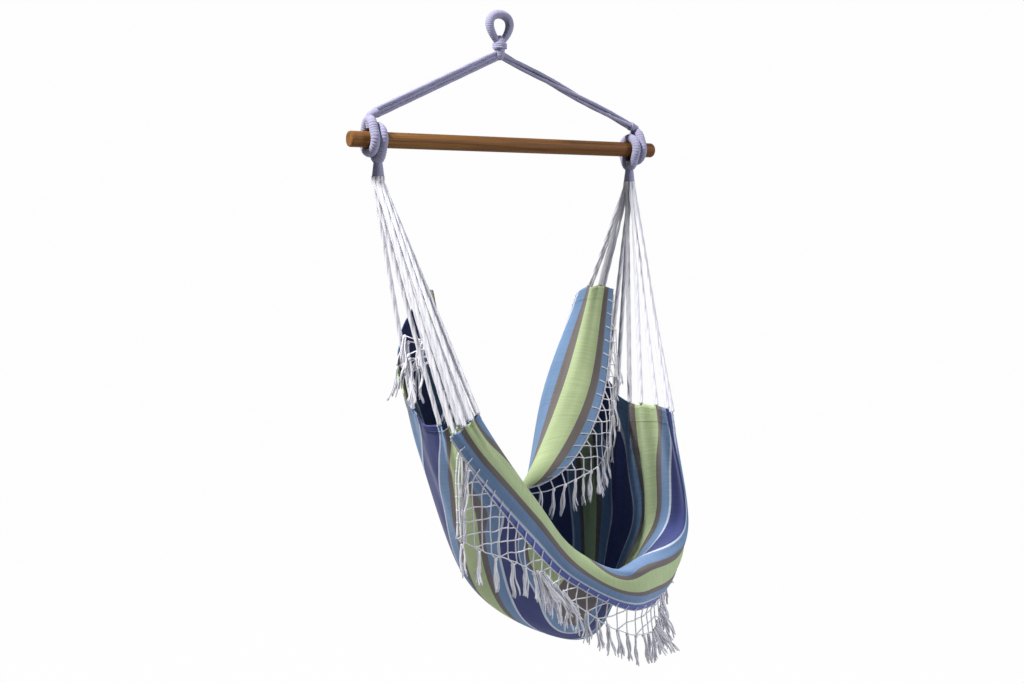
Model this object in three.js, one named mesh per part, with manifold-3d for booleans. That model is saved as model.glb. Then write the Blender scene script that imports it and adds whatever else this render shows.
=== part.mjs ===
// Hammock chair: a striped cotton sheet hung by two fans of cords from a wooden spreader bar.
// Millimetres, +Z up, the sitter looks along -Y. The origin is the inside crown of the hanging
// loop, the place that bears on a hook.
import * as THREE from 'three';
import { mergeVertices } from 'three/addons/utils/BufferGeometryUtils.js';
import Module from 'manifold-3d';

const wasm = await Module();
wasm.setup();

// Gaps
const bearingGap = 0.5; // between the bar and the served eyes that turn on it
const seatGap = 0.3; // between pieces that bear on each other and don't move
const hemGap = 0.5; // between the hem and the cords that straddle it
const weldTolerance = 0.0001; // points nearer than this are one point

// Spreader bar, a turned dowel
const barLength = 910;
const barRadius = 19;
const barEase = 4; // radius of the eased edge at each end
const hangDrop = 309; // from the crown of the hanging loop to the axis of the bar
const hangOffset = 36; // the bar hangs this far to the right of the hook

// Served rope: thick rope wound all over with thin cord
const servedRadius = 10.5;
const servingDepth = 0.9; // groove between two turns of the serving
const eyePoint = 17; // how far an eye is drawn out to a point where its rope leaves
const eyePointSharpness = 6;
const hangerEyeInset = 54; // from the end of the bar to the hanger eye
const eyeSideGap = 0.6; // between the two eyes on one end of the bar

// Hanging loop
const loopWidth = 81;
const loopHeight = 96;
const loopRopeRadius = 11;
const loopFootRadius = 8.4; // the rope is pressed thinner where its two legs meet
const loopFootAngle = 0.74; // radians from the foot of the loop to where each leg ends
const neckCoreRadius = 13;
const neckShoulderRadius = 16;
const neckWrapRadius = 18.5;
const neckWrapHeight = 11;
const neckWrapTurns = 2;
const neckTailHeight = 28; // bare core below the wrap, which the hanger ropes enter

// Hanger ropes, three strands to each end of the bar
const hangerStrandRadius = 3.6;
const hangerStrandGap = 0.6;
const hangerStrandPitch = 2 * hangerStrandRadius + hangerStrandGap;
const hangerCollarRim = 0.8; // how far the collar stands out beyond the strands
const hangerCollarRadius = hangerStrandPitch + hangerStrandRadius + hangerCollarRim;
const hangerCollarLength = 22;
const hangerCollarRise = 25;

// Seat eyes' collars and seat cords
const seatCollarDrop = 85; // from the bar's axis to the collar's lower face
const cordRadius = 3.5;
const cordGap = 0.65; // between neighbours where they leave the collar
const cordLeadOut = 16; // a cord runs straight down this far before it fans out
const cordBite = 8; // a cord straddles the hem this far
const innerCords = 3;
const outerCords = 9;
const innerCordRing = (2 * cordRadius + cordGap) / Math.sqrt(innerCords);
const outerCordRing = innerCordRing + 2 * cordRadius + cordGap;
const seatCollarRim = 0.2;
const seatCollarRadius = outerCordRing + cordRadius + seatCollarRim;

// Seat cloth
const clothThickness = 2.4; // a doubled, pre-shrunk cotton canvas with its loft
const seatHalfWidth = 400;
const seatHalfDepth = 250;
const seatDrop = 1250; // from the bar's axis down
const clothSteps = 22; // from hem to hem
const clothRibs = 26; // from selvedge to selvedge

// Nets with tassels
const netThickness = 3;
const netRows = 4; // half diamonds, from the selvedge down
const netColumnsPerStep = 2;
const netHoleShare = 0.76; // half a hole, as a share of a column and of a row
const netHeaderHeight = 7;
const frontNetDepth = 200; // where it hangs deepest
const rearNetDepth = 120;
const netTurn = 12; // how far the net takes to turn from the sheet's direction to the plumb line
const tasselLength = 80;
const tasselNeckDrop = 10;
const tasselNeckShare = 0.16; // half widths of a tassel, as shares of a column
const tasselFootShare = 0.34;
const frontNetLean = { x: 0.3, y: -0.05 }; // drift for each unit that the net falls, at its right end
const rearNetLean = { x: 0, y: -0.06 };


// How deep each net hangs at even places along its selvedge, from its left end to its right one
const frontNetShares = [1, 0.62, 0.28, 0.2, 0.27, 0.33, 0.36, 0.4, 0.4];
const rearNetShares = [0.7, 0.6, 0.45, 0.3, 0.2, 0.5, 1, 0.85, 0.7];

const barSides = 36;
const ropeSides = 8;

// Where the sheet's control places lie: first along it, from the left hem to the right one, then
// across it, from the front selvedge to the rear one. The places are shares of the seat's half
// width, half depth and drop, from the middle of the bar.
const alongShares = [-1, -0.72, -0.4, 0, 0.4, 0.72, 1];
const acrossShares = [0, 0.07, 0.14, 0.22, 0.33, 0.45, 0.57, 0.69, 0.8, 0.9, 1];
const clothShares = [
  [
    [-0.761, -0.795, -0.549], [-0.664, -0.914, -0.519], [-0.575, -0.798, -0.511],
    [-0.606, -0.547, -0.54], [-0.667, -0.249, -0.542], [-0.733, 0.094, -0.513], [-0.711, 0.293, -0.451],
    [-0.675, 0.392, -0.385], [-0.593, 0.346, -0.318], [-0.544, 0.133, -0.283], [-0.661, -0.037, -0.31],
  ],
  [
    [-0.565, -0.834, -0.641], [-0.506, -0.93, -0.597], [-0.454, -0.796, -0.569],
    [-0.505, -0.517, -0.619], [-0.561, -0.187, -0.644], [-0.577, 0.2, -0.641], [-0.513, 0.457, -0.598],
    [-0.489, 0.603, -0.528], [-0.448, 0.499, -0.453], [-0.386, 0.211, -0.432], [-0.443, -0.064, -0.465],
  ],
  [
    [-0.232, -0.856, -0.77], [-0.223, -0.934, -0.716], [-0.197, -0.853, -0.682],
    [-0.215, -0.589, -0.745], [-0.259, -0.2, -0.82], [-0.253, 0.247, -0.887], [-0.161, 0.605, -0.862],
    [-0.149, 0.781, -0.768], [-0.175, 0.746, -0.676], [-0.186, 0.382, -0.614], [-0.202, -0.008, -0.589],
  ],
  [
    [0.107, -0.836, -0.867], [0.122, -0.935, -0.837], [0.135, -0.856, -0.804], [0.167, -0.656, -0.866],
    [0.246, -0.406, -0.965], [0.302, 0.018, -1.028], [0.237, 0.506, -0.992], [0.181, 0.814, -0.907],
    [0.126, 0.877, -0.81], [0.119, 0.531, -0.743], [0.092, 0.097, -0.706],
  ],
  [
    [0.678, -0.772, -0.954], [0.681, -0.924, -0.912], [0.639, -0.968, -0.866], [0.6, -0.852, -0.843],
    [0.584, -0.576, -0.901], [0.653, -0.251, -1.003], [0.699, 0.215, -1.019], [0.65, 0.702, -0.928],
    [0.434, 0.855, -0.805], [0.317, 0.412, -0.693], [0.431, -0.124, -0.652],
  ],
  [
    [1.056, -0.373, -0.919], [1.111, -0.547, -0.871], [1.135, -0.645, -0.825], [1.11, -0.655, -0.786],
    [1.007, -0.39, -0.792], [0.95, 0.043, -0.828], [0.902, 0.435, -0.806], [0.788, 0.775, -0.701],
    [0.503, 0.545, -0.519], [0.553, 0.157, -0.498], [0.678, -0.138, -0.511],
  ],
  [
    [1.077, -0.21, -0.618], [1.031, -0.46, -0.586], [0.938, -0.727, -0.555], [0.815, -0.907, -0.533],
    [0.847, -0.544, -0.532], [0.867, -0.138, -0.536], [0.903, 0.198, -0.502], [0.83, 0.49, -0.428],
    [0.665, 0.283, -0.31], [0.692, 0.066, -0.287], [0.776, -0.09, -0.296],
  ],
];

// Where the cords meet each hem, as shares of its width from the front selvedge, and the place
// in the collar that each of them starts from: the inner places first, then the outer ones.
const leftHemShares = [0.015, 0.045, 0.075, 0.115, 0.155, 0.19, 0.225, 0.265, 0.31, 0.43, 0.87, 0.915];
const rightHemShares = [0.1, 0.17, 0.22, 0.28, 0.35, 0.42, 0.5, 0.58, 0.68, 0.76, 0.86, 0.93];
const leftCollarPlaces = [9, 10, 11, 3, 2, 8, 0, 1, 7, 6, 5, 4];
const rightCollarPlaces = [11, 2, 10, 9, 3, 8, 0, 4, 1, 5, 6, 7];

const material = (name, color, roughness) =>
  new THREE.MeshStandardMaterial({ name, color, roughness, metalness: 0 });
const wood = material('oiled hardwood', 0x96643c, 0.55);
const servedRope = material('served cotton rope', 0x9b9bbb, 0.9);
const cotton = material('white cotton cord', 0xf0f0f5, 0.9);
const canvas = material('striped cotton canvas', 0x7d9bc8, 0.85);

const chair = new THREE.Group();

function addPiece(name, geometry, look) {
  const piece = new THREE.Mesh(geometry, look);
  piece.name = name;
  chair.add(piece);
}

// Solids

function signedVolume(places, triangles) {
  let volume = 0;
  for (let i = 0; i < triangles.length; i += 3) {
    const [a, b, c] = [0, 1, 2].map((k) => places[triangles[i + k]]);
    volume += a.dot(b.clone().cross(c)) / 6;
  }
  return volume;
}

// A geometry from places and triangles, with its faces turned outwards.
function closedGeometry(places, triangles) {
  if (signedVolume(places, triangles) < 0) {
    for (let i = 0; i < triangles.length; i += 3) {
      [triangles[i], triangles[i + 1]] = [triangles[i + 1], triangles[i]];
    }
  }
  const geometry = new THREE.BufferGeometry();
  const numbers = places.flatMap((p) => [p.x, p.y, p.z]);
  geometry.setAttribute('position', new THREE.Float32BufferAttribute(numbers, 3));
  geometry.setIndex(triangles);
  return geometry;
}

function toSolid(geometry) {
  const bare = geometry.clone();
  bare.deleteAttribute('normal');
  bare.deleteAttribute('uv');
  const merged = mergeVertices(bare, weldTolerance);
  return new wasm.Manifold(new wasm.Mesh({
    numProp: 3,
    vertProperties: new Float32Array(merged.attributes.position.array),
    triVerts: new Uint32Array(merged.index.array),
  }));
}

function toGeometry(solid) {
  const mesh = solid.getMesh();
  const geometry = new THREE.BufferGeometry();
  geometry.setAttribute('position', new THREE.BufferAttribute(new Float32Array(mesh.vertProperties), 3));
  geometry.setIndex(new THREE.BufferAttribute(new Uint32Array(mesh.triVerts), 1));
  return geometry;
}

function largestPart(solid) {
  return solid.decompose().reduce((most, part) => (part.volume() > most.volume() ? part : most));
}

// A tube through places that lie in one plane, with a radius at each of them.
function planarTube(path, radii, planeNormal, closed) {
  const places = [];
  const triangles = [];
  const last = path.length - 1;
  path.forEach((centre, i) => {
    const before = path[i > 0 ? i - 1 : closed ? last : 0];
    const after = path[i < last ? i + 1 : closed ? 0 : last];
    const along = centre.clone().sub(before).normalize()
      .add(after.clone().sub(centre).normalize()).normalize();
    const sideways = along.clone().cross(planeNormal).normalize();
    for (let k = 0; k < ropeSides; k += 1) {
      const angle = (k / ropeSides) * 2 * Math.PI;
      places.push(centre.clone()
        .addScaledVector(planeNormal, radii[i] * Math.cos(angle))
        .addScaledVector(sideways, radii[i] * Math.sin(angle)));
    }
  });
  const rings = closed ? path.length : last;
  for (let i = 0; i < rings; i += 1) {
    const next = (i + 1) % path.length;
    for (let k = 0; k < ropeSides; k += 1) {
      const [a, b] = [i * ropeSides + k, i * ropeSides + ((k + 1) % ropeSides)];
      const [c, d] = [next * ropeSides + k, next * ropeSides + ((k + 1) % ropeSides)];
      triangles.push(a, b, d, a, d, c);
    }
  }
  if (!closed) {
    for (let k = 1; k < ropeSides - 1; k += 1) {
      const end = last * ropeSides;
      triangles.push(0, k + 1, k, end, end + k, end + k + 1);
    }
  }
  return closedGeometry(places, triangles);
}

const ridge = (radius, i) => radius - (i % 2 ? servingDepth : 0);

// A straight round tube from one place to another, with the number of sides that ropes have.
function rod(from, to, radius) {
  const circle = new THREE.Shape();
  circle.absarc(0, 0, radius, 0, 2 * Math.PI);
  const line = new THREE.LineCurve3(from, to);
  const settings = { curveSegments: ropeSides, steps: 1, bevelEnabled: false, extrudePath: line };
  return new THREE.ExtrudeGeometry(circle, settings);
}

// A sheet of even thickness over a mesh of places and polygons that all turn the same way.
function sheetSolid(places, normals, polygons, thickness) {
  const offset = (side) => places.map((p, i) => p.clone().addScaledVector(normals[i], side * thickness / 2));
  const all = [...offset(1), ...offset(-1)];
  const count = places.length;
  const triangles = [];
  const borders = new Map();
  for (const polygon of polygons) {
    for (let k = 1; k < polygon.length - 1; k += 1) {
      const [a, b, c] = [polygon[0], polygon[k], polygon[k + 1]];
      triangles.push(a, b, c, a + count, c + count, b + count);
    }
    polygon.forEach((from, k) => {
      const to = polygon[(k + 1) % polygon.length];
      if (!borders.delete(`${to},${from}`)) borders.set(`${from},${to}`, [from, to]);
    });
  }
  for (const [from, to] of borders.values()) {
    triangles.push(to, from, from + count, to, from + count, to + count);
  }
  return closedGeometry(all, triangles);
}

// Hanger: loop, neck and ropes

const barMiddle = new THREE.Vector3(hangOffset, 0, -hangDrop);
const loopHalfWidth = loopWidth / 2 - loopRopeRadius;
const loopDrop = loopHeight - 2 * loopRopeRadius;
const widestShare = 0.77; // the largest value of sin(a) sin(a / 2)
const loopRings = 38;

function loopPlace(angle) {
  const width = loopHalfWidth / widestShare;
  const x = width * Math.sin(angle) * Math.sin(angle / 2);
  return new THREE.Vector3(-x, 0, loopRopeRadius - (loopDrop * (1 + Math.cos(angle))) / 2);
}

const loopPath = Array.from({ length: loopRings + 1 }, (_, i) =>
  loopPlace(loopFootAngle + (i / loopRings) * (2 * Math.PI - 2 * loopFootAngle)));
const loopRadii = loopPath.map((place, i) => {
  const toFoot = Math.min(i, loopRings - i) / loopRings;
  const full = Math.min(1, toFoot * 4);
  return ridge(loopFootRadius + (loopRopeRadius - loopFootRadius) * full, i);
});
const loopFootZ = loopPath[0].z;
const neckWrapTop = loopFootZ - loopFootRadius;
const neckWrapFoot = neckWrapTop - neckWrapHeight;
const neckFoot = neckWrapFoot - neckTailHeight;
const neckEase = neckCoreRadius / 3;

function neckCore(grow) {
  const profile = [
    [0, loopFootZ + neckCoreRadius + grow],
    [neckCoreRadius + grow, loopFootZ + neckEase + grow],
    [neckShoulderRadius + grow, loopFootZ],
    [neckCoreRadius + grow, neckWrapTop + seatGap],
    [neckCoreRadius + grow, neckFoot + neckEase],
    [neckCoreRadius - neckEase + grow, neckFoot - grow],
    [0, neckFoot - grow],
  ].map(([r, z]) => new THREE.Vector2(r, z)).reverse();
  return new THREE.LatheGeometry(profile, barSides / 2).rotateX(Math.PI / 2);
}

function neckWrap(grow) {
  const bore = neckCoreRadius + seatGap - grow;
  const profile = [new THREE.Vector2(bore, neckWrapFoot - grow)];
  const rings = neckWrapTurns * 2;
  for (let i = 0; i <= rings; i += 1) {
    const end = (i === 0 ? -grow : 0) + (i === rings ? grow : 0);
    const z = neckWrapFoot + (i / rings) * neckWrapHeight + end;
    profile.push(new THREE.Vector2(ridge(neckWrapRadius, i + 1) + grow, z));
  }
  profile.push(new THREE.Vector2(bore, neckWrapTop + grow), profile[0].clone());
  return new THREE.LatheGeometry(profile, barSides / 2).rotateX(Math.PI / 2);
}

const facingFront = new THREE.Vector3(0, 1, 0);
const alongBar = new THREE.Vector3(1, 0, 0);
const legs = toSolid(planarTube(loopPath, loopRadii, facingFront, false));
addPiece('hanging_loop', toGeometry(legs.add(toSolid(neckCore(0)))), servedRope);
addPiece('neck_wrap', neckWrap(0), servedRope);

// Eyes round the bar

const eyeRadius = barRadius + bearingGap + servedRadius;
const eyeRings = 32;

// A ring of served rope round the bar, drawn out to a point upwards or downwards.
function eyeRing(centreX, pointsUp) {
  const path = Array.from({ length: eyeRings }, (_, i) => {
    const angle = (i / eyeRings) * 2 * Math.PI;
    const drawn = Math.max(0, Math.cos(angle)) ** eyePointSharpness;
    const reach = eyeRadius + eyePoint * drawn;
    const z = pointsUp * reach * Math.cos(angle);
    return new THREE.Vector3(centreX, reach * Math.sin(angle), barMiddle.z + z);
  });
  return toSolid(planarTube(path, path.map((_, i) => ridge(servedRadius, i)), alongBar, true));
}

const neckPlace = new THREE.Vector3(0, 0, neckWrapFoot - neckTailHeight / 2);
const hangerEyeX = (side) => barMiddle.x + side * (barLength / 2 - hangerEyeInset);
const seatEyeX = (side) => hangerEyeX(side) - side * (2 * servedRadius + eyeSideGap);

function addHangerSide(side, word) {
  const x = hangerEyeX(side);
  const root = new THREE.Vector3(x, 0, barMiddle.z + eyeRadius);
  const bend = root.clone().add(new THREE.Vector3(0, 0, hangerCollarRise));
  const pull = neckPlace.clone().sub(bend).normalize();
  const middle = bend.clone().addScaledVector(pull, hangerCollarLength / 2);
  const end = bend.clone().addScaledVector(pull, hangerCollarLength);
  const swelling = (servedRadius + hangerCollarRadius) / 2;
  const collarRadii = [servedRadius, servedRadius, swelling, hangerCollarRadius];
  const collar = toSolid(planarTube([root, bend, middle, end], collarRadii, facingFront, false));
  addPiece(`hanger_eye_${word}`, toGeometry(eyeRing(x, 1).add(collar)), servedRope);

  const across = pull.clone().cross(facingFront);
  const keepOut = toSolid(neckCore(seatGap)).add(toSolid(neckWrap(seatGap)));
  for (let i = 0; i < 3; i += 1) {
    const shift = across.clone().multiplyScalar((i - 1) * hangerStrandPitch);
    const from = end.clone().addScaledVector(pull, seatGap).add(shift);
    const strand = toSolid(rod(from, neckPlace.clone().add(shift), hangerStrandRadius));
    addPiece(`hanger_rope_${word}_${i + 1}`, toGeometry(largestPart(strand.subtract(keepOut))), servedRope);
  }
}

addHangerSide(-1, 'left');
addHangerSide(1, 'right');

// Spreader bar

const barProfile = [new THREE.Vector2(0, -barLength / 2)];
for (const end of [-1, 1]) {
  const eases = [0, 1, 2].map((i) => {
    const turn = (i / 2) * (Math.PI / 2);
    const r = barRadius - barEase * (1 - Math.sin(turn));
    return new THREE.Vector2(r, end * (barLength / 2 - barEase * (1 - Math.cos(turn))));
  });
  barProfile.push(...(end < 0 ? eases : eases.reverse()));
}
barProfile.push(new THREE.Vector2(0, barLength / 2));
const bar = new THREE.LatheGeometry(barProfile, barSides).rotateZ(-Math.PI / 2);
addPiece('spreader_bar', bar.translate(barMiddle.x, barMiddle.y, barMiddle.z), wood);

// Seat cloth

// A smooth curve through the rows of a table, whose steps may be uneven.
function curveAt(rows, steps, at) {
  const last = rows.length - 1;
  const slopes = rows.map((row, i) => {
    const [low, high] = [Math.max(i - 1, 0), Math.min(i + 1, last)];
    const before = i > 0 ? steps[i] - steps[low] : 0;
    const after = i < last ? steps[high] - steps[i] : 0;
    return row.map((value, k) => {
      const rise = i > 0 ? (value - rows[low][k]) / before : 0;
      const next = i < last ? (rows[high][k] - value) / after : 0;
      return (rise * after + next * before) / (before + after) || rise + next;
    });
  });
  let i = 0;
  while (i < last - 1 && at > steps[i + 1]) i += 1;
  const span = steps[i + 1] - steps[i];
  const u = (at - steps[i]) / span;
  return rows[i].map((value, k) =>
    (2 * u ** 3 - 3 * u ** 2 + 1) * value + (u ** 3 - 2 * u ** 2 + u) * span * slopes[i][k]
    + (3 * u ** 2 - 2 * u ** 3) * rows[i + 1][k] + (u ** 3 - u ** 2) * span * slopes[i + 1][k]);
}

// The place on the sheet at a share along it and a share across it.
function clothPlace(along, across) {
  const sections = clothShares.map((row) => row.flat());
  const flat = curveAt(sections, alongShares, along);
  const row = acrossShares.map((_, i) => flat.slice(3 * i, 3 * i + 3));
  const [x, y, z] = curveAt(row, acrossShares, across);
  return new THREE.Vector3(x * seatHalfWidth, y * seatHalfDepth, z * seatDrop).add(barMiddle);
}

const clothGrid = Array.from({ length: clothSteps + 1 }, (_, i) =>
  Array.from({ length: clothRibs + 1 }, (__, j) => clothPlace((2 * i) / clothSteps - 1, j / clothRibs)));

function gridNormals(grid) {
  return grid.flatMap((row, i) => row.map((_, j) => {
    const before = grid[Math.max(i - 1, 0)][j];
    const after = grid[Math.min(i + 1, grid.length - 1)][j];
    const left = row[Math.max(j - 1, 0)];
    const right = row[Math.min(j + 1, row.length - 1)];
    return after.clone().sub(before).cross(right.clone().sub(left)).normalize();
  }));
}

function gridSolid(grid, thickness) {
  const across = grid[0].length;
  const quads = [];
  for (let i = 0; i < grid.length - 1; i += 1) {
    for (let j = 0; j < across - 1; j += 1) {
      const a = i * across + j;
      quads.push([a, a + across, a + across + 1, a + 1]);
    }
  }
  return sheetSolid(grid.flat(), gridNormals(grid), quads, thickness);
}

const cloth = gridSolid(clothGrid, clothThickness);
addPiece('seat_cloth', cloth, canvas);

// The sheet next to one hem, grown by the gap that the cords keep to it.
function hemKeepOut(side) {
  const rows = side < 0 ? clothGrid.slice(0, 3) : clothGrid.slice(-3);
  const [hem, next] = side < 0 ? [0, 1] : [2, 1];
  const grown = rows[hem].map((place, j) => {
    const outwards = place.clone().sub(rows[next][j]).normalize();
    return place.clone().addScaledVector(outwards, hemGap);
  });
  const band = rows.map((row, i) => (i === hem ? grown : row));
  return toSolid(gridSolid(band, clothThickness + 2 * hemGap)).add(toSolid(cloth));
}

// Seat eyes, collars and cords

function collarPlace(slot) {
  const inner = slot < innerCords;
  const turn = inner ? slot / innerCords + 1 / 18 : (slot - innerCords) / outerCords;
  const ring = inner ? innerCordRing : outerCordRing;
  const angle = turn * 2 * Math.PI;
  return new THREE.Vector3(ring * Math.cos(angle), ring * Math.sin(angle), 0);
}

const plumb = new THREE.Vector3(0, 0, -1);

function addSeatSide(side, word, hemShares, collarPlaces) {
  const x = seatEyeX(side);
  const root = new THREE.Vector3(x, 0, barMiddle.z - eyeRadius);
  const foot = new THREE.Vector3(x, 0, barMiddle.z - seatCollarDrop);
  const throat = root.z - servedRadius - eyeSideGap; // where the collar is clear of the other eye
  const collar = new THREE.LatheGeometry([
    new THREE.Vector2(0, foot.z),
    new THREE.Vector2(seatCollarRadius, foot.z),
    new THREE.Vector2((servedRadius + seatCollarRadius) / 2, (foot.z + throat) / 2),
    new THREE.Vector2(servedRadius - servingDepth, throat),
    new THREE.Vector2(servedRadius - servingDepth, root.z),
    new THREE.Vector2(0, root.z),
  ], barSides / 2).rotateX(Math.PI / 2).translate(x, 0, 0);
  addPiece(`seat_eye_${word}`, toGeometry(eyeRing(x, -1).add(toSolid(collar))), servedRope);

  const keepOut = hemKeepOut(side);
  hemShares.forEach((share, i) => {
    const start = foot.clone().add(collarPlace(collarPlaces[i]));
    start.z -= seatGap;
    const lead = start.clone();
    lead.z -= cordLeadOut;
    const hem = clothPlace(side, share);
    const pull = hem.clone().sub(lead).normalize();
    const end = hem.clone().addScaledVector(pull, cordBite);
    const fanPlane = pull.clone().cross(plumb).normalize();
    const cord = planarTube([start, lead, end], [cordRadius, cordRadius, cordRadius], fanPlane, false);
    const cut = largestPart(toSolid(cord).subtract(keepOut));
    addPiece(`seat_cord_${word}_${String(i + 1).padStart(2, '0')}`, toGeometry(cut), cotton);
  });
}

addSeatSide(-1, 'left', leftHemShares, leftCollarPlaces);
addSeatSide(1, 'right', rightHemShares, rightCollarPlaces);

// Nets

// The selvedge as the sheet's own corners make it, so that a net follows it without a gap.
function selvedge(rib, inner, column) {
  const at = column / netColumnsPerStep;
  const step = Math.min(Math.floor(at), clothSteps - 1);
  const place = clothGrid[step][rib].clone().lerp(clothGrid[step + 1][rib], at - step);
  const inside = clothGrid[step][inner].clone().lerp(clothGrid[step + 1][inner], at - step);
  return { place, away: place.clone().sub(inside).normalize() };
}

// A net that leaves the selvedge in the sheet's own direction and then hangs down. Its knots lie
// on a lattice of columns along the selvedge and rows below it, and its holes are diamonds.
function addNet(name, rib, inner, firstColumn, lastColumn, netDepth, depthShares, lean) {
  const rowHeight = netDepth / netRows;
  const shareRows = depthShares.map((share) => [share]);
  const shareSteps = depthShares.map((_, i) => i / (depthShares.length - 1));
  const placeAt = (column, depth) => {
    const { place, away } = selvedge(rib, inner, column);
    const onward = (column - firstColumn) / (lastColumn - firstColumn);
    const [share] = curveAt(shareRows, shareSteps, onward);
    const knotted = Math.min(Math.max(depth - netHeaderHeight, 0), netDepth);
    const hung = depth - knotted * (1 - share);
    const turned = netTurn * (1 - Math.exp(-hung / netTurn));
    const fall = hung - turned;
    return place.addScaledVector(away, seatGap + turned)
      .add(new THREE.Vector3(lean.x * onward ** 2 * fall, lean.y * fall, -fall));
  };
  const places = [];
  const normals = [];
  const polygons = [];
  const known = new Map();
  const corner = (column, depth) => {
    const key = `${column.toFixed(3)} ${depth.toFixed(3)}`;
    if (!known.has(key)) {
      const onward = placeAt(column + netHoleShare, depth).sub(placeAt(column - netHoleShare, depth));
      const above = placeAt(column, Math.max(0, depth - netThickness));
      const down = placeAt(column, depth + netThickness).sub(above);
      known.set(key, places.length);
      places.push(placeAt(column, depth));
      normals.push(onward.cross(down).normalize());
    }
    return known.get(key);
  };
  const rest = 1 - netHoleShare;
  const knotSide = (column, row, right, lower) =>
    corner(column + right * rest, netHeaderHeight + (row + lower * rest) * rowHeight);
  const left = (column, row) => knotSide(column, row, -1, 0);
  const right = (column, row) => knotSide(column, row, 1, 0);
  const top = (column, row) => knotSide(column, row, 0, -1);
  const foot = (column, row) => knotSide(column, row, 0, 1);

  for (let row = 0; row <= netRows; row += 1) {
    for (let column = firstColumn + (row % 2); column <= lastColumn; column += 2) {
      if (row === 0) {
        polygons.push([knotSide(column, 0, 0, 0), left(column, 0), foot(column, 0), right(column, 0)]);
      } else if (row === netRows) {
        polygons.push([left(column, row), right(column, row), top(column, row)]);
        addTassel(column);
      } else {
        polygons.push([left(column, row), foot(column, row), right(column, row), top(column, row)]);
      }
      if (row < netRows && column < lastColumn) {
        const [a, b] = [column + 1, row + 1];
        polygons.push([foot(column, row), left(a, b), top(a, b), right(column, row)]);
      }
      if (row < netRows && column > firstColumn) {
        const [a, b] = [column - 1, row + 1];
        polygons.push([top(a, b), right(a, b), foot(column, row), left(column, row)]);
      }
    }
  }

  function addTassel(column) {
    const start = netHeaderHeight + netDepth;
    const levels = [[0, rest], [tasselNeckDrop, tasselNeckShare], [tasselLength, tasselFootShare]];
    for (let i = 0; i < levels.length - 1; i += 1) {
      const [[upper, wide], [lower, next]] = [levels[i], levels[i + 1]];
      polygons.push([
        corner(column - wide, start + upper), corner(column - next, start + lower),
        corner(column + next, start + lower), corner(column + wide, start + upper),
      ]);
    }
  }

  const headerColumns = [];
  for (let column = firstColumn; column <= lastColumn; column += 2) {
    headerColumns.push(column - rest, column, column + rest);
  }
  headerColumns.slice(1).forEach((column, i) => {
    const before = headerColumns[i];
    polygons.push([
      corner(before, 0), corner(before, netHeaderHeight),
      corner(column, netHeaderHeight), corner(column, 0),
    ]);
  });
  addPiece(name, sheetSolid(places, normals, polygons, netThickness), cotton);
}

const lastNetColumn = clothSteps * netColumnsPerStep - 2;
addNet('front_net', 0, 1, 2, lastNetColumn, frontNetDepth, frontNetShares, frontNetLean);
addNet('rear_net', clothRibs, clothRibs - 1, 4, lastNetColumn, rearNetDepth, rearNetShares, rearNetLean);

export default chair;
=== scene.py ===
import math

import bpy
import numpy as np
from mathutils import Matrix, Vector


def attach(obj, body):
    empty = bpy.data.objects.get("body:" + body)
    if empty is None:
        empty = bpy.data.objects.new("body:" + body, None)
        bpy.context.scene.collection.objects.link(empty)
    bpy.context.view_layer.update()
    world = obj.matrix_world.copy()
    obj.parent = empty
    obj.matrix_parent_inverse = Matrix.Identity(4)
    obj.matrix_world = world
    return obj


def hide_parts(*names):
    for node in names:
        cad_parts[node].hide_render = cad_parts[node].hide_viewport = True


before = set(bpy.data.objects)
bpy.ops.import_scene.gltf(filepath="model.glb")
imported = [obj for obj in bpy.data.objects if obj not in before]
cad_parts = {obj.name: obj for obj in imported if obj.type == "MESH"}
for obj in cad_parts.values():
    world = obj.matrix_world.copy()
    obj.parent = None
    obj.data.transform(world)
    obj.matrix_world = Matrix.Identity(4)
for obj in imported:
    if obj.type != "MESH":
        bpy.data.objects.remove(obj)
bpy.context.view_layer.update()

MM = 0.001
UP = np.array([0.0, 0.0, 1.0])
BACKWARDS = np.array([0.0, 1.0, 0.0])
LEVEL = np.array([1, 1, 0])
SIDES = ((-1, "left"), (1, "right"))

# Sizes that the solids have too, in metres
BAR_LENGTH = 910 * MM
BAR_RADIUS = 19 * MM
BAR_MIDDLE = np.array([36 * MM, 0, -309 * MM])
BEARING_GAP = 0.5 * MM
SERVED_RADIUS = 10.5 * MM
EYE_RADIUS = BAR_RADIUS + BEARING_GAP + SERVED_RADIUS
EYE_POINT = 17 * MM
EYE_POINT_SHARPNESS = 6
HANGER_EYE_INSET = 54 * MM
EYE_SIDE_GAP = 0.6 * MM
LOOP_WIDTH = 81 * MM
LOOP_HEIGHT = 96 * MM
LOOP_ROPE_RADIUS = 11 * MM
LOOP_FOOT_RADIUS = 8.4 * MM
LOOP_FOOT_ANGLE = 0.74
NECK_WRAP_HEIGHT = 11 * MM
NECK_TAIL_HEIGHT = 28 * MM
NECK_WRAP_RADIUS = 18.5 * MM
STRANDS = 3
STRAND_PITCH = 7.8 * MM
HANGER_COLLAR_LENGTH = 22 * MM
HANGER_COLLAR_RISE = 25 * MM
SEAT_COLLAR_DROP = 85 * MM
CORD_RADIUS = 3.5 * MM
CORD_GAP = 0.65 * MM
CORD_LEAD_OUT = 16 * MM
INNER_CORDS = 3
OUTER_CORDS = 9
INNER_RING = (2 * CORD_RADIUS + CORD_GAP) / math.sqrt(INNER_CORDS)
OUTER_RING = INNER_RING + 2 * CORD_RADIUS + CORD_GAP
INNER_START = 1 / 18  # of a turn, from the x axis to the first inner cord
SEAT_HALF_WIDTH = 400 * MM
SEAT_HALF_DEPTH = 250 * MM
SEAT_DROP = 1250 * MM
NET_TURN = 12 * MM
NET_HEADER = 7 * MM

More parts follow.
